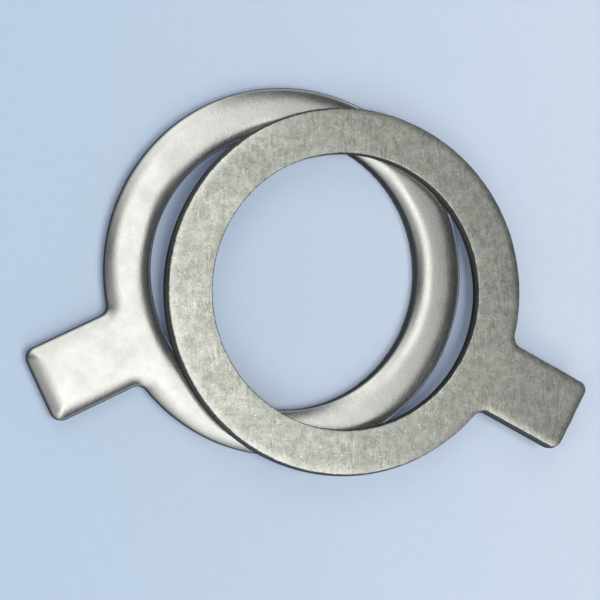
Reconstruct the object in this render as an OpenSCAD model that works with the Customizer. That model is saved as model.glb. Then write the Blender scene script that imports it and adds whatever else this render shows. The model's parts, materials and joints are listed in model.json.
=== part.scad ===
// A pair of stamped tab washers lying as they come to rest: the lower one with its rolled face up,
// the upper one turned over, with its burr face up, lying flat on the lower one.

/* [Ring] */
// Diameter of the bore at its smooth land
bore_d = 25; // [18:0.1:27]
// Diameter of the rim at its smooth land
rim_d = 33.4; // [31:0.1:42]
// Thickness of the steel sheet
sheet_t = 2; // [1.5:0.1:3]

/* [Tab] */
// Width of the tab
tab_w = 7; // [4:0.1:12]
// How far the tab stands out beyond the rim
tab_out = 8.1; // [4:0.1:20]
// Radius of the two free corners of the tab, seen from above
corner_r = 1; // [0.95:0.05:1.9]
// Radius of the inside corners where the tab leaves the ring
root_r = 1; // [0.4:0.1:3]

/* [Sheared edge] */
// Width of the rolled edge that the die leaves on one face
roll_w = 0.9; // [0.6:0.05:0.95]
// Depth of the rolled edge
roll_h = 0.5; // [0.3:0.05:0.6]
// Height of the torn zone, from the burr face up to the smooth land
tear_h = 0.9; // [0.4:0.05:1]
// How far the torn zone draws back from the land at the burr face
tear_in = 0.2; // [0.05:0.01:0.4]

/* [Pair] */
// Direction of the lower washer's tab, in degrees from the X axis
lower_turn = 204; // [190:1:230]
// Direction of the upper washer's tab, in degrees from the X axis
upper_turn = -29; // [-60:1:-10]
// Distance from the lower washer's centre to the upper one's, along X
shift_x = 5.1; // [0:0.1:9]
// Distance from the lower washer's centre to the upper one's, along Y
shift_y = -1.9; // [-6:0.1:6]

/* [Hidden] */
$fn = 180;

bore_r = bore_d / 2;
rim_r = rim_d / 2;
ring_w = rim_r - bore_r;
mid_r = (bore_r + rim_r) / 2;
tab_half = tab_w / 2;
tab_end = rim_r + tab_out;

// The roll is an arc that starts level with the flat face and ends at the top of the smooth land
roll_r = hundredth((pow(roll_w, 2) + pow(roll_h, 2)) / (2 * roll_h));
land_mid = (tear_h + sheet_t - roll_h) / 2;

// Strip that holds the roll and a little of the flat face beside it
flat_strip = 0.2;
edge_w = roll_w + flat_strip;
// How far neighbouring pieces run into each other, along and round
lap = 0.3;
lap_turn = 1;
// Cuts run past the faces by this much
cut_over = 1;

// Centre of the root's arc, beside the tab and outside the rim, and its direction from the bore
root_y = tab_half + root_r;
root_x = sqrt(pow(rim_r + root_r, 2) - pow(root_y, 2));
root_turn = atan2(root_y, root_x);

function hundredth(v) = round(v * 100) / 100;

// How far a washer centred at (x, y), with its tab turned to the angle t, reaches in the direction d
function reach(x, y, t, d) = x * cos(d) + y * sin(d) + max(
    rim_r,
    (tab_end - corner_r) * cos(t - d) + (tab_half - corner_r) * abs(sin(t - d)) + corner_r
);
function pair_reach(d) = max(
    reach(0, 0, lower_turn, d),
    reach(shift_x, shift_y, upper_turn, d)
);
// Middle of the pair's footprint, seen from the lower washer's centre
mid_x = (pair_reach(0) - pair_reach(180)) / 2;
mid_y = (pair_reach(90) - pair_reach(270)) / 2;

// Moves a piece by a whole hundredth first and then by what is left, so that it lands true
module place(x, y) {
    translate([hundredth(x), hundredth(y), 0])
        translate([x - hundredth(x), y - hundredth(y), 0])
            children();
}

// Section of one sheared edge: the edge is at x = 0, the burr face at y = 0,
// and the sheet runs to the left as far as the given depth
module sheared_edge(depth) {
    polygon([
        [-depth, 0],
        [-tear_in, 0],
        [0, tear_h],
        [0, land_mid],
        [-roll_w, land_mid],
        [-roll_w, sheet_t],
        [-depth, sheet_t]
    ]);
    intersection() {
        translate([-roll_w, sheet_t - roll_r])
            circle(roll_r);
        translate([-roll_w, land_mid])
            square([roll_w, sheet_t]);
    }
}

// Section of the ring, with the bore's edge on the left and the rim's on the right
module ring_section() {
    intersection() {
        translate([rim_r, 0])
            sheared_edge(ring_w + cut_over);
        translate([bore_r, 0])
            mirror([1, 0])
                sheared_edge(ring_w + cut_over);
    }
}

// Sector of the plane between the two roots' directions, from the bore's axis out
module root_sector() {
    far = 2 * rim_r;
    polygon([
        [0, 0],
        [far * cos(root_turn), -far * sin(root_turn)],
        [far * cos(root_turn), far * sin(root_turn)]
    ]);
}

// The ring, with its outer band left open where the tab and its roots come in
module ring() {
    difference() {
        rotate_extrude()
            ring_section();
        translate([0, 0, -cut_over])
            linear_extrude(sheet_t + 2 * cut_over)
                difference() {
                    root_sector();
                    circle(rim_r - edge_w);
                }
    }
}

// One root: the sheared edge swept round the inside corner between rim and tab
module root() {
    start_turn = 180 + floor(root_turn) - lap_turn;
    intersection() {
        place(root_x, root_y)
            rotate_extrude(start = start_turn, angle = 270 - start_turn)
                translate([root_r, 0])
                    mirror([1, 0])
                        sheared_edge(edge_w + lap);
        translate([0, 0, -cut_over])
            linear_extrude(sheet_t + 2 * cut_over)
                root_sector();
    }
}

// The flat sheet between the two roots, lapped into the ring and into the straight part of the tab
module root_web() {
    web_turn = root_turn + lap_turn;
    web_x = root_x + lap;
    linear_extrude(sheet_t)
        difference() {
            polygon([
                [0, 0],
                [web_x, -web_x * tan(web_turn)],
                [web_x, web_x * tan(web_turn)]
            ]);
            circle(mid_r);
            for (side = [-1, 1])
                place(root_x, side * root_y)
                    circle(root_r + edge_w);
        }
}

// Section across the tab, with a sheared edge on each side
module tab_section() {
    intersection() {
        translate([tab_half, 0])
            sheared_edge(tab_w + cut_over);
        translate([-tab_half, 0])
            mirror([1, 0])
                sheared_edge(tab_w + cut_over);
    }
}

// The straight part of the tab, from its roots to its corners
module tab_bar() {
    difference() {
        translate([mid_r, 0, 0])
            rotate([90, 0, 90])
                linear_extrude(tab_end - corner_r - mid_r)
                    tab_section();
        place(root_x, 0)
            translate([-rim_r, -tab_w, -cut_over])
                cube([rim_r, 2 * tab_w, sheet_t + 2 * cut_over]);
    }
}

// The end edge of the tab, between its corners
module tab_tip() {
    translate([tab_end, tab_half - corner_r, 0])
        rotate([90, 0, 0])
            linear_extrude(tab_w - 2 * corner_r)
                sheared_edge(corner_r);
}

// One free corner of the tab
module tab_corner() {
    translate([tab_end - corner_r, tab_half - corner_r, 0])
        rotate_extrude(angle = 90)
            translate([corner_r, 0])
                sheared_edge(corner_r);
}

// One washer, tab along +X, burr face at z = 0 and rolled face at z = sheet_t
module tab_washer() {
    ring();
    root_web();
    for (side = [0, 1])
        mirror([0, side, 0])
            root();
    tab_bar();
    tab_tip();
    for (side = [0, 1])
        mirror([0, side, 0])
            tab_corner();
}

module lower_washer() {
    color([0.84, 0.84, 0.81])
        translate([-mid_x, -mid_y, 0])
            rotate([0, 0, lower_turn])
                tab_washer();
}

// Turned over, so that its rolled face lies on the rolled face of the lower one
module upper_washer() {
    color([0.66, 0.66, 0.61])
        translate([shift_x - mid_x, shift_y - mid_y, 2 * sheet_t])
            rotate([0, 0, upper_turn])
                rotate([180, 0, 0])
                    tab_washer();
}

lower_washer();
upper_washer();
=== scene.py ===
"""A pair of stamped tab washers, one lying across the other, dressed for a product picture."""

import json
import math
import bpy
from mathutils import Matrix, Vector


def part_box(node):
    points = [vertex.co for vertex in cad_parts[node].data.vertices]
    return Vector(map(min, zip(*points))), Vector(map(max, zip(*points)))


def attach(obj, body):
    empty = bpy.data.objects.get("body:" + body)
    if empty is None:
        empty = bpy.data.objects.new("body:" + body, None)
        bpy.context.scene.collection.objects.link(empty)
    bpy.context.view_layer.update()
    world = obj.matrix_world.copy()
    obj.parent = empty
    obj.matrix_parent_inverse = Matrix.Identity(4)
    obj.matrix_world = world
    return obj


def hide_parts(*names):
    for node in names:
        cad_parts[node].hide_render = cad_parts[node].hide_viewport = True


bl_info = {
    "name": "Pair of tab washers",
    "version": (1, 0, 0),
    "blender": (4, 5, 0),
    "location": "View3D > Sidebar > Tab Washers",
    "description": "Two stamped steel tab washers on pale paper, with their sheared edges and tumbled finish",
    "category": "Object",
}

import bmesh
import bpy
from bmesh.types import BMEdge, BMFace, BMVert
from bpy.props import FloatProperty, FloatVectorProperty, PointerProperty
from mathutils import Matrix, Vector, noise
from mathutils.bvhtree import BVHTree

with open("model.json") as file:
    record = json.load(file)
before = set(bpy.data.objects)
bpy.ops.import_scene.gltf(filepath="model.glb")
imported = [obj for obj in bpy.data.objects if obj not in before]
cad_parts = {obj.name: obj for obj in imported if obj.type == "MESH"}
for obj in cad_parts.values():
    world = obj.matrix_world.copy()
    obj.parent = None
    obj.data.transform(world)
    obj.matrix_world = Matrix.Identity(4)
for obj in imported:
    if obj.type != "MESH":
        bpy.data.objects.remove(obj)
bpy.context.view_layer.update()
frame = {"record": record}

MM = 0.001

# The bores' centres and radius come from the frame, and the rim and the sheet's thickness from the boxes of
# the CAD parts
MOUNTS = {mount["name"]: mount for mount in frame["record"]["mounts"]}
LOWER_CENTRE = Vector(MOUNTS["lower_bore"]["pos_m"]) * Vector((1, 1, 0))
UPPER_CENTRE = Vector(MOUNTS["upper_bore"]["pos_m"]) * Vector((1, 1, 0))
BORE_D = 2 * MOUNTS["lower_bore"]["dims"]["r_mm"] * MM
RIM_D = 2 * (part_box("upper_washer")[1].y - UPPER_CENTRE.y)
SHEET_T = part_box("lower_washer")[1].z

# Cells of the mesh: across the ring, across the tab, round a root, along a side, round a corner
RING_CELLS = 22
TAB_COLUMNS = 48
ROOT_STEPS = 10
SIDE_STEPS = 30
CORNER_STEPS = 12
# Round the rest of the ring, one cell for this length of rim
RIM_CELL = 0.18 * MM
# How strongly the tab's columns crowd towards its sides, where 0 is evenly spread
TAB_CROWDING = 0.75
# Rows down the smooth land and down the torn zone
LAND_ROWS = 2
TORN_ROWS = 5
# Points nearer than this are one point
SEAM = 2e-3 * MM

# The roll's width wanders by this share, in waves of this length
ROLL_WANDER = 0.3
ROLL_WAVE = 6 * MM
# The roll of the tab grows wider over this length of its end
TIP_ROLL_LENGTH = 4 * MM
# The land's painted shade starts at this level on the outline and is cut off at 1, so its dark line is solid
# there
LAND_SHADE_START = 1.25
# The wandering of the torn edge dies away into the face over about this length
TORN_REACH = 0.3 * MM
# Shares of it: how far inwards the edge stands everywhere, and its coarse and fine waves
TORN_INSET = 0.5
TORN_COARSE = 0.7
TORN_FINE = 0.5
TORN_COARSE_WAVE = 0.9 * MM
TORN_FINE_WAVE = 0.25 * MM


# Sizes, colours and light that can be set


def length(name, default, description):
    return FloatProperty(
        name=name, description=description, default=default, min=0.0, precision=5, unit="LENGTH"
    )


def angle(name, default, description):
    return FloatProperty(
        name=name, description=description, default=math.radians(default), subtype="ANGLE"
    )


def share(name, default, description, highest=1.0):
    return FloatProperty(name=name, description=description, default=default, min=0.0, max=highest)


def colour(name, default, description):
    return FloatVectorProperty(
        name=name, description=description, default=default, size=3, min=0.0, max=1.0, subtype="COLOR"
    )


class WasherSizes(bpy.types.PropertyGroup):
    """Sizes of one stamping, and how the two lie"""

    bore_d: length("Bore", BORE_D, "Diameter of the bore at its smooth land")
    rim_d: length("Rim", RIM_D, "Diameter of the rim at its smooth land")
    sheet_t: length("Sheet", SHEET_T, "Thickness of the steel sheet")
    tab_w: length("Tab width", 7 * MM, "Width of the tab")
    tab_out: length("Tab length", 8.1 * MM, "How far the tab stands out beyond the rim")
    corner_r: length("Tab corner", 1 * MM, "Radius of the tab's two free corners")
    root_r: length("Tab root", 1 * MM, "Radius of the inside corners between ring and tab")
    roll_w: length("Roll width", 1.3 * MM, "Width of the rolled edge on one face")
    roll_h: length("Roll depth", 0.5 * MM, "Depth of the rolled edge")
    tip_roll: share("Tip roll", 0.3, "How much wider the roll grows towards the tab's end")
    toe_w: length("Toe width", 2.7 * MM, "Width over which the face leads gently into the outer roll")
    toe_h: length("Toe depth", 0.09 * MM, "How far the face sinks over that width")
    tear_h: length("Torn height", 0.9 * MM, "Height of the torn zone above the burr face")
    tear_in: length("Torn draw-back", 0.17 * MM, "How far the rim and tab draw back at the burr face")
    bore_in: length("Bore draw-back", 0.03 * MM, "How far the bore draws back at the burr face")
    crown_w: length("Crown width", 0.85 * MM, "Width of the burr face's edge that droops")
    crown_h: length("Crown depth", 0.028 * MM, "How far the burr face droops at the rim and tab")
    bore_crown: length("Bore crown depth", 0.006 * MM, "How far the burr face droops at the bore")
    # The land's dark colour is painted shade, which fades out over the rolled face near the outline; a share
    # of it is painted over the whole roll
    land_w: length("Land width", 0.2 * MM, "How far the darker sheared land fades out over the roll")
    roll_shade: share("Painted roll shade", 0.12, "How much of the land's darker sheen the whole roll takes on")
    worn_w: length("Worn width", 0.9 * MM, "How far the rim's rubbed, brighter edge reaches inwards")
    burr_r: length("Burr rounding", 0.02 * MM, "Radius that tumbling leaves on the burr edge")
    ragged: length("Ragged edge", 0.035 * MM, "How far the torn edge wanders in and out")
    lower_turn: angle("Lower tab", 204, "Direction of the lower washer's tab")
    upper_turn: angle("Upper tab", -29, "Direction of the upper washer's tab")


class SteelLook(bpy.types.PropertyGroup):
    """Colours and finish of the two faces"""

    rolled: colour("Rolled face", (0.88, 0.89, 0.855), "Steel of the smooth, rolled face")
    burr: colour("Burr face", (0.616, 0.628, 0.568), "Steel of the matt burr face")
    burr_cool: colour("Burr patches", (0.58, 0.60, 0.547), "Cooler patches of the burr face")
    # Painted shade: the land's dark colour, darker than its smooth sheared steel
    land: colour("Sheared land", (0.13, 0.13, 0.125), "Smooth sheared part of the walls")
    # The torn wall's dark colour is partly its own rough torn metal and partly painted shade
    torn: colour("Torn wall", (0.19, 0.19, 0.18), "Dark torn metal of the sheared walls")
    worn: share("Worn edge", 0.6, "How much of the burr face's rubbed edge is bright metal")
    bright: colour("Bright metal", (0.88, 0.88, 0.83), "Metal of the rubbed edge")
    rolled_rough: share("Rolled roughness", 0.27, "Roughness of the rolled face")
    burr_rough: share("Burr roughness", 0.26, "Roughness of the burr face")


class StageLook(bpy.types.PropertyGroup):
    """Paper, light and camera"""

    # Painted light: one even paper, painted darker on its left and lighter on its right
    paper: colour("Paper", (0.482, 0.590, 0.692), "Pale paper under the washers, on its left")
    paper_lit_right: colour("Paper right", (0.584, 0.671, 0.746), "The same paper on its right")
    # Painted light: a faint bluish glow of the paper, which the camera and the steel see, and which lifts its
    # shadows
    painted_glow: colour("Paper glow", (0.013, 0.016, 0.058), "Light that the paper passes on into shadows")
    key_level: share("Key light", 0.59, "Light of the lamp nearly overhead on white paper", 3.0)
    left_level: share("Left light", 0.127, "Light of the soft lamp on the left on white paper", 3.0)
    front_level: share("Front light", 0.158, "Light of the soft lamp at the front on white paper", 3.0)
    back_level: share("Back light", 0.106, "Light of the soft lamp at the back on white paper", 3.0)
    band_level: share("Band", 1.45, "Level of the bright band overhead", 3.0)
    patch_level: share("Front patch", 0.29, "Level of the dimmer patch on the front left", 3.0)
    back_patch_level: share("Back patch", 0.46, "Level of the dimmer patch on the back left", 3.0)
    sky_level: share("Sky", 0.045, "Plain level of the surroundings", 3.0)
    horizon_level: share("Horizon", 0.65, "Level of the surroundings near the horizon", 3.0)
    camera_tilt: angle("Camera tilt", 15.64, "How far the camera leans from straight above")
    camera_azimuth: angle("Camera side", -175.77, "Side to which the camera leans")
    camera_roll: angle("Camera roll", -1.00, "Turn of the camera about its own axis")
    camera_distance: length("Camera distance", 217.4 * MM, "Distance from the camera to its aim")
    lens: FloatProperty(name="Lens", description="Focal length in millimetres", default=144.0, min=10.0)


# Sheared edge, as drops below the flat face at a distance from the outline


def fade(gap, width):
    """1 at the outline, falling evenly to 0 at this width."""
    return max(0.0, 1 - gap / width)


def pick(first, second, share_of_second):
    """The value between two, at this share of the way to the second."""
    return first + (second - first) * share_of_second


def roll_drop(gap, width, depth):
    """The rolled edge: a quarter of an ellipse, level with the face and plumb at the outline."""
    if gap >= width:
        return 0.0
    reach = 1 - gap / width
    return depth * (1 - math.sqrt(1 - reach * reach))


def toe_drop(sizes, rim_gap):
    """The gentle slope by which the face leads into the roll of the rim and tab."""
    return sizes.toe_h * fade(rim_gap, sizes.toe_w) ** 2


def burr_drop(sizes, gap, by_bore):
    """The burr face's edge: a shallow droop, and the small rounding that tumbling leaves."""
    drop = pick(sizes.crown_h, sizes.bore_crown, by_bore) * fade(gap, sizes.crown_w) ** 2
    if gap < sizes.burr_r:
        drop += sizes.burr_r - math.sqrt(sizes.burr_r**2 - (sizes.burr_r - gap) ** 2)
    return drop


def draw_back(sizes, by_bore):
    """How far the torn wall draws back down to the burr face."""
    return pick(sizes.tear_in, sizes.bore_in, by_bore)


# Flat blank


def crowded(share_of_way, weight=1.0):
    """Moves points that are evenly spread over -1 to 1 towards both ends."""
    return (1 - weight) * share_of_way + weight * math.sin(math.pi / 2 * share_of_way)


def root_place(sizes):
    """Centre of the root's arc, beside the tab and outside the rim, and its direction."""
    y = sizes.tab_w / 2 + sizes.root_r
    x = math.sqrt((sizes.rim_d / 2 + sizes.root_r) ** 2 - y**2)
    return x, y, math.atan2(y, x)


def tab_rows(sizes):
    """Rows across the tab: place along X, half width and how much the row still follows the rim."""
    root_x, root_y, turn = root_place(sizes)
    first_x = root_x - sizes.root_r * math.cos(turn)
    side_x = sizes.rim_d / 2 + sizes.tab_out - sizes.corner_r
    half = sizes.tab_w / 2
    rows = []
    for step in range(1, ROOT_STEPS + 1):
        way = math.pi + turn + (math.pi / 2 - turn) * step / ROOT_STEPS
        x = root_x + sizes.root_r * math.cos(way)
        rows.append((x, root_y + sizes.root_r * math.sin(way), (root_x - x) / (root_x - first_x)))
    for step in range(1, SIDE_STEPS + 1):
        rows.append((root_x + (side_x - root_x) * step / SIDE_STEPS, half, 0))
    for step in range(1, CORNER_STEPS + 1):
        way = math.pi / 2 * step / CORNER_STEPS
        narrowing = sizes.corner_r * (1 - math.cos(way))
        rows.append((side_x + sizes.corner_r * math.sin(way), half - narrowing, 0))
    return rows


def only(kind, geom):
    """The points, edges or faces among what an operator has made."""
    return [item for item in geom if isinstance(item, kind)]


def ring_line(bm, sizes, turn):
    """A line across the ring, its points crowded towards both edges, turned to one side of the tab."""
    bore_r = sizes.bore_d / 2
    ring_w = sizes.rim_d / 2 - bore_r
    ends = [bm.verts.new((bore_r, 0, 0)), bm.verts.new((bore_r + ring_w, 0, 0))]
    bmesh.ops.subdivide_edges(bm, edges=[bm.edges.new(ends)], cuts=RING_CELLS - 1)
    for vert in bm.verts:
        place = 2 * (vert.co.x - bore_r) / ring_w - 1
        vert.co.x = bore_r + ring_w * (crowded(place) + 1) / 2
    bmesh.ops.rotate(bm, verts=bm.verts, matrix=Matrix.Rotation(-turn, 3, "Z"))
    return bm.verts[:] + bm.edges[:]


def draw_tab(bm, sizes, turn):
    """Draws the tab out of the rim of the narrow sector, one row after another."""
    rim_r = sizes.rim_d / 2
    row = sorted((v for v in bm.verts if v.co.length > rim_r - SEAM), key=lambda v: v.co.y)
    places = [(v.co.y / row[-1].co.y, v.co.x - row[-1].co.x) for v in row]
    for x, half, bulge in tab_rows(sizes):
        edges = [bm.edges.get(pair) for pair in zip(row, row[1:])]
        made = bmesh.ops.extrude_edge_only(bm, edges=edges)["geom"]
        row = sorted(only(BMVert, made), key=lambda v: v.co.y)
        for vert, (across, lead) in zip(row, places):
            vert.co = (x + lead * bulge, half * across, 0)


def flat_blank(sizes):
    """The flat blank: a narrow sector of the ring, the tab drawn out of it, then the rest of the ring."""
    bm = bmesh.new()
    turn = root_place(sizes)[2]
    line = ring_line(bm, sizes, turn)
    about = {"cent": (0, 0, 0), "axis": (0, 0, 1), "use_merge": False, "use_duplicate": False}
    swept = bmesh.ops.spin(bm, geom=line, angle=2 * turn, steps=TAB_COLUMNS, **about)
    for vert in bm.verts:
        place = math.atan2(vert.co.y, vert.co.x)
        crowded_place = turn * crowded(place / turn, TAB_CROWDING)
        vert.co.rotate(Matrix.Rotation(crowded_place - place, 3, "Z"))
    last = swept["geom_last"]
    draw_tab(bm, sizes, turn)
    rest = 2 * math.pi - 2 * turn
    steps = round(rest * sizes.rim_d / 2 / RIM_CELL)
    bmesh.ops.spin(bm, geom=last, angle=rest, steps=steps, **about)
    bmesh.ops.remove_doubles(bm, verts=bm.verts, dist=SEAM)
    bmesh.ops.recalc_face_normals(bm, faces=bm.faces)
    return bm


def outline_wall(blank, middle):
    """A wall on the outline of rim and tab, to which any point's distance can be measured."""
    wall = blank.copy()
    flat = wall.faces[:]
    outline = [edge for edge in wall.edges if edge.is_boundary and edge.verts[0].co.length > middle]
    raised = bmesh.ops.extrude_edge_only(wall, edges=outline)["geom"]
    bmesh.ops.translate(wall, verts=only(BMVert, raised), vec=(0, 0, MM))
    bmesh.ops.delete(wall, geom=flat, context="FACES_ONLY")
    tree = BVHTree.FromBMesh(wall)
    wall.free()
    return tree


def measure_blank(bm, sizes):
    """Notes on each point how far it is from the edges, which way leads inwards, and which edge is near."""
    middle = (sizes.bore_d + sizes.rim_d) / 4
    tree = outline_wall(bm, middle)
    gap_of = bm.verts.layers.float.new("edge_gap")
    rim_gap_of = bm.verts.layers.float.new("rim_gap")
    inward_of = bm.verts.layers.float_vector.new("inward")
    bore_of = bm.verts.layers.float.new("by_bore")
    for vert in bm.verts:
        inward = vert.co - tree.find_nearest(vert.co)[0]
        bore_gap = vert.co.length - sizes.bore_d / 2
        vert[rim_gap_of] = inward.length
        vert[bore_of] = 1.0 if bore_gap < inward.length else 0.0
        vert[gap_of] = min(bore_gap, inward.length)
        if vert[bore_of]:
            inward = vert.co.copy()
        open_edges = [edge for edge in vert.link_edges if edge.is_boundary]
        if open_edges:
            inward = sum((e.calc_tangent(e.link_loops[0]) for e in open_edges), Vector())
            vert[gap_of] = 0.0
        inward.z = 0
        vert[inward_of] = inward.normalized()
    return gap_of, rim_gap_of, inward_of, bore_of


# Finished washer


def stamped_washer(sizes):
    """One washer in its own frame: tab along +X, burr face at z = 0, rolled face on top."""
    bm = flat_blank(sizes)
    bm.normal_update()
    gap_of, rim_gap_of, inward_of, bore_of = measure_blank(bm, sizes)
    land_of = bm.verts.layers.float.new("land")
    torn_of = bm.verts.layers.float.new("torn")
    worn_of = bm.verts.layers.float.new("worn")

    rolled_side = bm.faces[:]
    copied = bmesh.ops.duplicate(bm, geom=bm.verts[:] + bm.edges[:] + bm.faces[:])["geom"]
    burr_side = only(BMFace, copied)
    outline = [e for e in bm.edges if e.is_boundary and e.link_faces[0] in set(rolled_side)]

    tip = sizes.rim_d / 2 + sizes.tab_out
    for vert in {v for f in rolled_side for v in f.verts}:
        # Painted shade: the land's dark colour reaches onto the rolled face near the outline, and a share of
        # it over the whole roll
        land = LAND_SHADE_START * fade(vert[gap_of], sizes.land_w)
        vert[land_of] = min(1.0, land + sizes.roll_shade * fade(vert[gap_of], sizes.roll_w))
        wander = 1 + ROLL_WANDER * noise.noise(vert.co / ROLL_WAVE)
        wander += sizes.tip_roll * fade(tip - vert.co.x, TIP_ROLL_LENGTH)
        depth = sizes.roll_h - (1 - vert[bore_of]) * sizes.toe_h
        drop = roll_drop(vert[gap_of], sizes.roll_w * wander, depth)
        vert.co.z = sizes.sheet_t - drop - toe_drop(sizes, vert[rim_gap_of])
    for vert in only(BMVert, copied):
        inset = draw_back(sizes, vert[bore_of])
        vert.co += vert[inward_of] * inset * fade(vert[gap_of], sizes.crown_w)
        vert.co.z = burr_drop(sizes, vert[gap_of], vert[bore_of])
        vert[worn_of] = (1 - vert[bore_of]) * fade(vert[gap_of], sizes.worn_w)
    bmesh.ops.reverse_faces(bm, faces=burr_side)

    land_top = sizes.sheet_t - sizes.roll_h
    rows = [(land_top + (sizes.tear_h - land_top) * k / LAND_ROWS, 0) for k in range(1, LAND_ROWS + 1)]
    rows += [(sizes.tear_h, k / TORN_ROWS) for k in range(1, TORN_ROWS + 1)]
    done = 0
    for z, way_down in rows:
        made = bmesh.ops.extrude_edge_only(bm, edges=outline)["geom"]
        outline = [e for e in only(BMEdge, made) if e.is_boundary]
        for vert in only(BMVert, made):
            inset = draw_back(sizes, vert[bore_of])
            vert.co += vert[inward_of] * inset * (way_down - done)
            vert.co.z = pick(z, burr_drop(sizes, 0, vert[bore_of]), way_down)
            vert[land_of] = 1.0
            vert[torn_of] = 1.0 if way_down > 0 else 0.0
        done = way_down
    bmesh.ops.remove_doubles(bm, verts=bm.verts, dist=SEAM)

    roughen_torn_edge(bm, sizes, gap_of, inward_of)
    bmesh.ops.recalc_face_normals(bm, faces=bm.faces)
    return bm


def roughen_torn_edge(bm, sizes, gap_of, inward_of):
    """The torn zone and the burr edge wander a little, and the face beside them follows."""
    for vert in bm.verts:
        height = 1 - vert.co.z / sizes.tear_h
        if height <= 0:
            continue
        strength = height * math.exp(-vert[gap_of] / TORN_REACH)
        coarse = TORN_COARSE * noise.noise(vert.co / TORN_COARSE_WAVE)
        fine = TORN_FINE * noise.noise(vert.co / TORN_FINE_WAVE + Vector((7, 3, 1)))
        vert.co += vert[inward_of] * sizes.ragged * strength * (TORN_INSET + coarse + fine)


def finish_piece(bm, name, place, material, node):
    """Puts a finished mesh in its place as an object of the scene, standing for its CAD node."""
    bmesh.ops.transform(bm, matrix=place, verts=bm.verts)
    bmesh.ops.recalc_face_normals(bm, faces=bm.faces)
    for face in bm.faces:
        face.smooth = True
    mesh = bpy.data.meshes.new(name)
    bm.to_mesh(mesh)
    bm.free()
    mesh.materials.append(material)
    piece = bpy.data.objects.new(name, mesh)
    bpy.context.scene.collection.objects.link(piece)
    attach(piece, "root")
    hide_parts(node)


# Materials


def add(tree, kind, inputs=None, **settings):
    """Adds a node, and sets or links its inputs."""
    made = tree.nodes.new(kind)
    for name, value in settings.items():
        setattr(made, name, value)
    for name, value in (inputs or {}).items():
        if isinstance(value, bpy.types.NodeSocket):
            tree.links.new(value, made.inputs[name])
        else:
            made.inputs[name].default_value = value
    return made


def maths(tree, operation, *values, clamp=False):
    """One step of arithmetic."""
    inputs = dict(enumerate(values))
    return add(tree, "ShaderNodeMath", inputs, operation=operation, use_clamp=clamp).outputs[0]


def blend(tree, factor, first, second, mode="MIX"):
    """Mixes two colours."""
    inputs = {0: factor, 6: first, 7: second}
    return add(tree, "ShaderNodeMix", inputs, data_type="RGBA", blend_type=mode).outputs[2]


def ramp(tree, value, low, high, to_low=0.0, to_high=1.0):
    """Maps low..high to to_low..to_high with soft ends."""
    inputs = {0: value, 1: low, 2: high, 3: to_low, 4: to_high}
    return add(tree, "ShaderNodeMapRange", inputs, interpolation_type="SMOOTHSTEP").outputs[0]


def speckle(tree, where, scale, detail, roughness=0.5):
    """Noise from 0 to 1."""
    inputs = {"Vector": where, "Scale": scale, "Detail": detail, "Roughness": roughness}
    return add(tree, "ShaderNodeTexNoise", inputs).outputs[0]


def moved(tree, where, shift, stretch):
    """Stretches a place and shifts it."""
    inputs = {"Vector": where, "Location": shift, "Scale": stretch}
    return add(tree, "ShaderNodeMapping", inputs).outputs[0]


def mesh_value(tree, name):
    """A number that the mesh carries on its points."""
    return add(tree, "ShaderNodeAttribute", attribute_name=name).outputs["Fac"]


def rgba(colour_value):
    return (*colour_value, 1.0)


def empty_tree(owner):
    """The cleared node tree of a material or a world."""
    owner.use_nodes = True
    owner.node_tree.nodes.clear()
    return owner.node_tree


# Noises of the tumbled face, on places in millimetres: shift, stretch, scale, detail and roughness
EVEN = (1, 1, 1)
NOISES = {
    "clouds": ((0, 0, 0), EVEN, 0.32, 3.0, 0.55),
    "tints": ((31, 17, 5), EVEN, 0.5, 2.0, 0.5),
    "grain": ((0, 0, 0), EVEN, 3.0, 3.0, 0.65),
    "fine grain": ((11, 5, 2), EVEN, 8.5, 1.0, 0.5),
    "combing": ((3, 9, 0), (4.2, 0.75, 4.2), 1.0, 2.0, 0.6),
    "combed places": ((50, 20, 0), EVEN, 0.4, 1.0, 0.5),
    "mottle": ((23, 41, 0), EVEN, 1.3, 2.0, 0.55),
    "glints": ((70, 3, 0), EVEN, 5.0, 1.0, 0.5),
    "pits": ((5, 90, 0), EVEN, 4.2, 1.0, 0.5),
}
# A noise's values between which its mask rises from 0 to 1
MASKS = {
    "tints": (0.42, 0.68),
    "combed places": (0.42, 0.62),
    "mottle": (0.34, 0.66),
    "glints": (0.64, 0.74),
    "pits": (0.66, 0.76),
}
# Darkest tone that the pits may reach, as a share of the steel's colour
LOWEST_TONE = 0.05
# Swing of the roughness with the tints, and how much smoother the glints are
TINT_ROUGHNESS = 0.12
GLINT_SMOOTHNESS = 0.04
# Share of the clouds in the relief, beside the grain
CLOUD_RELIEF = 0.5


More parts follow.
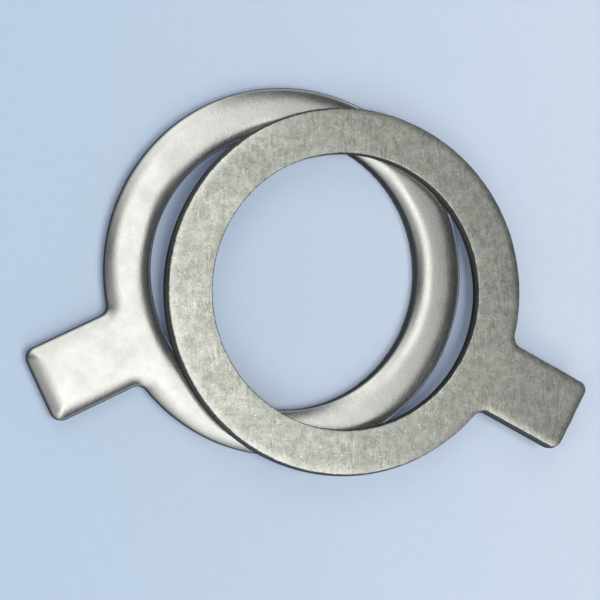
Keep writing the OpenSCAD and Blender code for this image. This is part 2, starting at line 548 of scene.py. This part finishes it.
def tumbled_finish():
    """Node group of the tumbled steel face: patches, grain, combed streaks, glints and pits."""
    group = bpy.data.node_groups.get("Tumbled finish")
    if group:
        return group
    group = bpy.data.node_groups.new("Tumbled finish", "ShaderNodeTree")
    for name in ("Steel", "Cool steel"):
        group.interface.new_socket(name, in_out="INPUT", socket_type="NodeSocketColor")
    for name in ("Patches", "Mottle", "Grain", "Streaks", "Glints", "Pits", "Roughness", "Seed"):
        group.interface.new_socket(name, in_out="INPUT", socket_type="NodeSocketFloat")
    group.interface.new_socket("Colour", in_out="OUTPUT", socket_type="NodeSocketColor")
    for name in ("Roughness", "Height"):
        group.interface.new_socket(name, in_out="OUTPUT", socket_type="NodeSocketFloat")
    given = group.nodes.new("NodeGroupInput").outputs

    place = add(group, "ShaderNodeTexCoord").outputs["Object"]
    seed_shift = add(group, "ShaderNodeCombineXYZ", {0: given["Seed"], 1: given["Seed"]}).outputs[0]
    in_mm = add(group, "ShaderNodeVectorMath", {0: place, "Scale": 1 / MM}, operation="SCALE").outputs[0]
    where = add(group, "ShaderNodeVectorMath", {0: in_mm, 1: seed_shift}, operation="ADD").outputs[0]

    noises = {}
    for name, (shift, stretch, scale, detail, roughness) in NOISES.items():
        noises[name] = speckle(group, moved(group, where, shift, stretch), scale, detail, roughness)
    masks = {name: ramp(group, noises[name], low, high) for name, (low, high) in MASKS.items()}

    def swing(value, amount):
        return maths(group, "MULTIPLY", maths(group, "SUBTRACT", value, 0.5), amount)

    tone = maths(group, "ADD", 1.0, swing(noises["clouds"], given["Patches"]))
    tone = maths(group, "ADD", tone, swing(masks["mottle"], given["Mottle"]))
    tone = maths(group, "ADD", tone, swing(noises["grain"], given["Grain"]))
    tone = maths(group, "ADD", tone, swing(noises["fine grain"], given["Grain"]))
    streaks = swing(noises["combing"], given["Streaks"])
    tone = maths(group, "ADD", tone, maths(group, "MULTIPLY", masks["combed places"], streaks))
    tone = maths(group, "ADD", tone, maths(group, "MULTIPLY", masks["glints"], given["Glints"]))
    tone = maths(group, "SUBTRACT", tone, maths(group, "MULTIPLY", masks["pits"], given["Pits"]))
    tone = maths(group, "MAXIMUM", tone, LOWEST_TONE)
    steel = blend(group, masks["tints"], given["Steel"], given["Cool steel"])
    tone_colour = add(group, "ShaderNodeCombineColor", {0: tone, 1: tone, 2: tone}).outputs[0]
    coloured = blend(group, 1.0, steel, tone_colour, "MULTIPLY")

    rough = maths(group, "ADD", given["Roughness"], swing(noises["tints"], TINT_ROUGHNESS))
    smoother = maths(group, "MULTIPLY", masks["glints"], GLINT_SMOOTHNESS)
    rough = maths(group, "SUBTRACT", rough, smoother, clamp=True)
    height = maths(group, "ADD", noises["grain"], maths(group, "MULTIPLY", noises["clouds"], CLOUD_RELIEF))
    add(group, "NodeGroupOutput", {"Colour": coloured, "Roughness": rough, "Height": height})
    return group


# Rubbing brightens the grain's tops: fully above the second of these heights, and least below the first
RUBBED_GRAIN = (0.55, 0.95)
RUBBED_LEAST = 0.45
# How much rougher the land and the torn wall are than the face, and the painted shade that darkens the land's
# reflection at grazing angles
LAND_ROUGHER = 0.15
TORN_ROUGHER = 0.1
LAND_EDGE_SHADE = (0.25, 0.25, 0.25)
# Height of the grain, and the distances from the edge between which its extra height dies away
GRAIN_HEIGHT = 0.01 * MM
PEEL_FADE = (0.3 * MM, 2.2 * MM)


def steel_material(name, look, face, relief, peel=1.0):
    """Steel with a tumbled face, its grain raised by a factor near the edges, and sheared walls darkened by
    painted shade and, on the torn zone, partly by its own rough metal; the painted shade runs onto the face
    near the outline and over the roll.
    """
    material = bpy.data.materials.new(name)
    tree = empty_tree(material)
    finish = add(tree, "ShaderNodeGroup", node_tree=tumbled_finish())
    for socket, value in face.items():
        finish.inputs[socket].default_value = value
    land = mesh_value(tree, "land")
    torn = mesh_value(tree, "torn")
    worn = maths(tree, "MULTIPLY", mesh_value(tree, "worn"), look.worn)
    rubbed = ramp(tree, finish.outputs["Height"], *RUBBED_GRAIN, RUBBED_LEAST, 1.0)
    rubbed = maths(tree, "MULTIPLY", worn, rubbed)
    colour_out = blend(tree, rubbed, finish.outputs["Colour"], rgba(look.bright))
    # Painted shade: the land's dark colour on the walls, on the face near the outline and over the roll
    colour_out = blend(tree, land, colour_out, rgba(look.land))
    # The torn wall's dark colour: partly its own rough metal, partly painted shade
    colour_out = blend(tree, torn, colour_out, rgba(look.torn))
    land_rougher = maths(tree, "MULTIPLY", land, LAND_ROUGHER)
    torn_rougher = maths(tree, "MULTIPLY", torn, TORN_ROUGHER)
    rougher = maths(tree, "ADD", land_rougher, torn_rougher)
    rough = maths(tree, "ADD", finish.outputs["Roughness"], rougher, clamp=True)
    raised = ramp(tree, mesh_value(tree, "edge_gap"), *PEEL_FADE, peel, 1.0)
    height = maths(tree, "MULTIPLY", finish.outputs["Height"], raised)
    inputs = {"Strength": relief, "Distance": GRAIN_HEIGHT, "Height": height}
    bump = add(tree, "ShaderNodeBump", inputs)
    # Painted shade: the land's tint darkens what it mirrors at grazing angles
    edge_shade = blend(tree, land, rgba((1, 1, 1)), rgba(LAND_EDGE_SHADE))
    inputs = {
        "Base Color": colour_out,
        "Roughness": rough,
        "Metallic": 1.0,
        "Specular Tint": edge_shade,
        "Normal": bump.outputs[0],
    }
    shader = add(tree, "ShaderNodeBsdfPrincipled", inputs)
    add(tree, "ShaderNodeOutputMaterial", {"Surface": shader.outputs[0]})
    return material


# The rolled face's cooler patches have this share of its colour
ROLLED_COOL = 0.97


def rolled_steel(look):
    """Steel of the smooth face, with little but its relief near the edges to see."""
    face = {
        "Steel": rgba(look.rolled),
        "Cool steel": rgba(Vector(look.rolled) * ROLLED_COOL),
        "Patches": 0.05,
        "Mottle": 0.035,
        "Grain": 0.05,
        "Streaks": 0.04,
        "Glints": 0.03,
        "Pits": 0.08,
        "Roughness": look.rolled_rough,
        "Seed": 0.0,
    }
    return steel_material("rolled face steel", look, face, relief=0.3, peel=3.0)


def burr_steel(look):
    """Steel of the matt face, strongly marked by tumbling."""
    face = {
        "Steel": rgba(look.burr),
        "Cool steel": rgba(look.burr_cool),
        "Patches": 0.40,
        "Mottle": 0.22,
        "Grain": 0.72,
        "Streaks": 0.95,
        "Glints": 0.45,
        "Pits": 0.30,
        "Roughness": look.burr_rough,
        "Seed": 40.0,
    }
    return steel_material("burr face steel", look, face, relief=0.4)


# Stage


# Half the side of the paper, and how far from its middle its painted light goes on changing, darker on the
# left and lighter on the right
PAPER_HALF = 2.0
PAINTED_LIGHT_REACH = 32 * MM
# Scale of the paper's fibres, and the tone of the darkest of them
FIBRE_SCALE = 900.0
FIBRE_TONE = 0.985


def paper_material(stage):
    """Pale paper, which keeps the washers' shadows, with a faint painted bluish glow all over that lifts
    them.
    """
    material = bpy.data.materials.new("pale paper")
    tree = empty_tree(material)
    place = add(tree, "ShaderNodeTexCoord").outputs["Object"]
    fibres = ramp(tree, speckle(tree, place, FIBRE_SCALE, 3.0), 0.3, 0.7, FIBRE_TONE, 1.0)
    across = add(tree, "ShaderNodeSeparateXYZ", {0: place}).outputs[0]
    tone = add(tree, "ShaderNodeCombineColor", {0: fibres, 1: fibres, 2: fibres}).outputs[0]
    # Painted light: the paper grows lighter from left to right
    painted_light_to_right = ramp(tree, across, -PAINTED_LIGHT_REACH, PAINTED_LIGHT_REACH)
    paper = blend(tree, painted_light_to_right, rgba(stage.paper), rgba(stage.paper_lit_right))
    # Painted light: the paper glows a little for the camera and in the steel's reflections
    ray = add(tree, "ShaderNodeLightPath").outputs
    seen = maths(tree, "MAXIMUM", ray["Is Camera Ray"], ray["Is Glossy Ray"])
    inputs = {
        "Base Color": blend(tree, 1.0, paper, tone, "MULTIPLY"),
        "Roughness": 0.85,
        "Specular IOR Level": 0.1,
        "Emission Color": blend(tree, seen, rgba((0, 0, 0)), rgba(stage.painted_glow)),
        "Emission Strength": 1.0,
    }
    shader = add(tree, "ShaderNodeBsdfPrincipled", inputs)
    add(tree, "ShaderNodeOutputMaterial", {"Surface": shader.outputs[0]})
    return material


def direction(azimuth, from_zenith):
    """Unit vector at an azimuth from +X and an angle from straight up, both in degrees."""
    around, down = math.radians(azimuth), math.radians(from_zenith)
    return Vector(
        (math.sin(down) * math.cos(around), math.sin(down) * math.sin(around), math.cos(down))
    )


# The bright band of the surroundings runs over the top along this azimuth, in degrees. Its near edge is
# crisp, and it fades out to the far side and at both ends. Edges are given as degrees from straight above.
BAND_AZIMUTH = 112
BAND_NEAR_EDGE = (12.6, 19.2)
BAND_FAR_EDGE = (-20, 16)
BAND_FRONT_END = (-51, -15)
BAND_BACK_END = (0, 62)
BAND_BACK_SHARE = 0.7
# Towards the front and the back, the far edge leans outwards by these shares of the way
BAND_FAR_FRONT_LEAN = 0.65
BAND_FAR_BACK_LEAN = 0.08
# Towards the near edge, the front end draws in by this share of the way
BAND_FRONT_LEAN = 0.5
# Dimmer patches lower down on the left, as azimuth, angle from straight above and half widths
FRONT_PATCH = (222, 42, 14, 38)
BACK_PATCH = (130, 48, 5, 27)
# The lighter horizon reaches up to these heights of a direction of length 1, fading out between them
HORIZON_FADE = (0.3, 0.42)
# Tints of the room's light and of the band's
ROOM_TINT = (0.92, 0.97, 1.06)
BAND_TINT = (1.0, 1.0, 0.97)
# Lamps, each with its azimuth, angle from straight above, half angle and the property of its level
LAMPS = {
    "key lamp": (308, 9, 14, "key_level"),
    "left lamp": (186, 38, 17, "left_level"),
    "front lamp": (274, 38, 17, "front_level"),
    "back lamp": (100, 38, 17, "back_level"),
}
LAMP_DISTANCE = 1.0
# The point that the camera looks at
CAMERA_AIM = Vector((-1.025, -1.63, 2)) * MM


def sines(degrees):
    return [math.sin(math.radians(value)) for value in degrees]


def towards(tree, look, way):
    """How far a direction of length 1 goes along another."""
    inputs = {0: look, 1: way}
    return add(tree, "ShaderNodeVectorMath", inputs, operation="DOT_PRODUCT").outputs["Value"]


def band_light(tree, look, level):
    """The bright band of the surroundings, as a level that depends on the direction."""
    along = direction(BAND_AZIMUTH, 90)
    back_way = towards(tree, look, along)
    near_way = towards(tree, look, (along.y, -along.x, 0))
    near = ramp(tree, near_way, *sines(BAND_NEAR_EDGE), 1.0, 0.0)
    front_lean = maths(tree, "MULTIPLY", maths(tree, "MINIMUM", back_way, 0.0), -BAND_FAR_FRONT_LEAN)
    back_lean = maths(tree, "MULTIPLY", maths(tree, "MAXIMUM", back_way, 0.0), BAND_FAR_BACK_LEAN)
    lean = maths(tree, "ADD", front_lean, back_lean)
    far = ramp(tree, maths(tree, "ADD", near_way, lean), *sines(BAND_FAR_EDGE))
    drawn = maths(tree, "SUBTRACT", back_way, maths(tree, "MULTIPLY", near_way, BAND_FRONT_LEAN))
    front = ramp(tree, drawn, *sines(BAND_FRONT_END))
    back = ramp(tree, back_way, *sines(BAND_BACK_END), 1.0, BAND_BACK_SHARE)
    sides = maths(tree, "MULTIPLY", maths(tree, "MULTIPLY", near, far), level)
    return maths(tree, "MULTIPLY", sides, maths(tree, "MULTIPLY", front, back))


def patch_light(tree, look, place, level):
    """A dimmer patch of the surroundings, as a level that depends on the direction."""
    azimuth, from_zenith, *half_widths = place
    near = towards(tree, look, direction(azimuth, from_zenith))
    inner, outer = (math.cos(math.radians(half)) for half in half_widths)
    return ramp(tree, near, outer, inner, 0.0, level)


def surroundings(stage):
    """A dim room with a soft bright band overhead, which the steel mirrors, and a lighter horizon."""
    world = bpy.data.worlds.new("soft room")
    tree = empty_tree(world)
    look = add(tree, "ShaderNodeTexCoord").outputs["Generated"]
    height = add(tree, "ShaderNodeSeparateXYZ", {0: look}).outputs[2]
    room = ramp(tree, height, *HORIZON_FADE, stage.sky_level + stage.horizon_level, stage.sky_level)
    room_light = add(tree, "ShaderNodeBackground", {"Color": rgba(ROOM_TINT), "Strength": room})
    band = band_light(tree, look, stage.band_level)
    band = maths(tree, "ADD", band, patch_light(tree, look, FRONT_PATCH, stage.patch_level))
    band = maths(tree, "ADD", band, patch_light(tree, look, BACK_PATCH, stage.back_patch_level))
    # The metal mirrors the band and its patches; the lamps light the paper in their stead
    band = maths(tree, "MULTIPLY", band, add(tree, "ShaderNodeLightPath").outputs["Is Glossy Ray"])
    mirrored = add(tree, "ShaderNodeBackground", {"Color": rgba(BAND_TINT), "Strength": band})
    both = add(tree, "ShaderNodeAddShader", {0: room_light.outputs[0], 1: mirrored.outputs[0]})
    add(tree, "ShaderNodeOutputWorld", {"Surface": both.outputs[0]})
    bpy.context.scene.world = world


def soft_lamp(name, azimuth, from_zenith, half_angle, level):
    """A round lamp for the paper and its shadows, aimed at the washers and not mirrored by them."""
    data = bpy.data.lights.new(name, "AREA")
    data.shape = "DISK"
    data.size = 2 * LAMP_DISTANCE * math.tan(math.radians(half_angle))
    data.energy = level * math.pi**2 * LAMP_DISTANCE**2 / math.cos(math.radians(from_zenith))
    lamp = bpy.data.objects.new(name, data)
    way = direction(azimuth, from_zenith)
    lamp.location = way * LAMP_DISTANCE
    lamp.rotation_euler = way.to_track_quat("Z", "Y").to_euler()
    lamp.visible_glossy = False
    bpy.context.scene.collection.objects.link(lamp)


def photograph_camera(stage):
    """The camera of the picture: nearly overhead, leaning towards the lower washer's tab."""
    data = bpy.data.cameras.new("camera")
    data.sensor_width = 36
    data.lens = stage.lens
    data.clip_start = 0.01
    camera = bpy.data.objects.new("camera", data)
    back = direction(math.degrees(stage.camera_azimuth), math.degrees(stage.camera_tilt))
    right = Vector((0, 1, 0)).cross(back).normalized()
    up = back.cross(right)
    turned = Matrix((right, up, back)).transposed().to_4x4() @ Matrix.Rotation(stage.camera_roll, 4, "Z")
    camera.matrix_world = Matrix.Translation(CAMERA_AIM + back * stage.camera_distance) @ turned
    bpy.context.scene.collection.objects.link(camera)
    bpy.context.scene.camera = camera


def paper_sheet(stage):
    """The paper under the washers."""
    bm = bmesh.new()
    bmesh.ops.create_grid(bm, x_segments=1, y_segments=1, size=PAPER_HALF)
    mesh = bpy.data.meshes.new("paper")
    bm.to_mesh(mesh)
    bm.free()
    mesh.materials.append(paper_material(stage))
    paper = bpy.data.objects.new("paper", mesh)
    bpy.context.scene.collection.objects.link(paper)


# Operators and panel


class TABWASHER_OT_lower(bpy.types.Operator):
    """Add the lower washer, rolled face up"""

    bl_idname = "tab_washer.lower"
    bl_label = "Lower washer"

    def execute(self, context):
        sizes = context.scene.washer_sizes
        place = Matrix.Translation(LOWER_CENTRE) @ Matrix.Rotation(sizes.lower_turn, 4, "Z")
        material = rolled_steel(context.scene.steel_look)
        washer = stamped_washer(sizes)
        finish_piece(washer, "lower_tab_washer", place, material, "lower_washer")
        return {"FINISHED"}


class TABWASHER_OT_upper(bpy.types.Operator):
    """Add the upper washer, turned over on the lower one"""

    bl_idname = "tab_washer.upper"
    bl_label = "Upper washer"

    def execute(self, context):
        sizes = context.scene.washer_sizes
        lift = Vector((0, 0, 2 * sizes.sheet_t))
        place = Matrix.Translation(UPPER_CENTRE + lift) @ Matrix.Rotation(sizes.upper_turn, 4, "Z")
        place = place @ Matrix.Rotation(math.pi, 4, "X")
        material = burr_steel(context.scene.steel_look)
        washer = stamped_washer(sizes)
        finish_piece(washer, "upper_tab_washer", place, material, "upper_washer")
        return {"FINISHED"}


class TABWASHER_OT_stage(bpy.types.Operator):
    """Add the paper, the light and the camera"""

    bl_idname = "tab_washer.stage"
    bl_label = "Paper, light and camera"

    def execute(self, context):
        stage = context.scene.stage_look
        context.scene.view_settings.view_transform = "Standard"
        paper_sheet(stage)
        surroundings(stage)
        for name, (azimuth, from_zenith, half_angle, level) in LAMPS.items():
            soft_lamp(name, azimuth, from_zenith, half_angle, getattr(stage, level))
        photograph_camera(stage)
        return {"FINISHED"}


class TABWASHER_PT_panel(bpy.types.Panel):
    """Lists the pieces and their sizes"""

    bl_label = "Tab Washers"
    bl_idname = "TABWASHER_PT_panel"
    bl_space_type = "VIEW_3D"
    bl_region_type = "UI"
    bl_category = "Tab Washers"

    def draw(self, context):
        for operator in OPERATORS:
            self.layout.operator(operator.bl_idname)
        for group in (context.scene.washer_sizes, context.scene.steel_look, context.scene.stage_look):
            box = self.layout.box()
            for name in group.__annotations__:
                box.prop(group, name)


OPERATORS = (TABWASHER_OT_lower, TABWASHER_OT_upper, TABWASHER_OT_stage)
GROUPS = {"washer_sizes": WasherSizes, "steel_look": SteelLook, "stage_look": StageLook}


def register():
    for made in (*GROUPS.values(), *OPERATORS, TABWASHER_PT_panel):
        bpy.utils.register_class(made)
    for name, group in GROUPS.items():
        setattr(bpy.types.Scene, name, PointerProperty(type=group))


def unregister():
    for name in GROUPS:
        delattr(bpy.types.Scene, name)
    for made in reversed((*GROUPS.values(), *OPERATORS, TABWASHER_PT_panel)):
        bpy.utils.unregister_class(made)


def main():
    register()
    bpy.ops.tab_washer.lower()
    bpy.ops.tab_washer.upper()
    bpy.ops.tab_washer.stage()


if __name__ == "__main__":
    main()
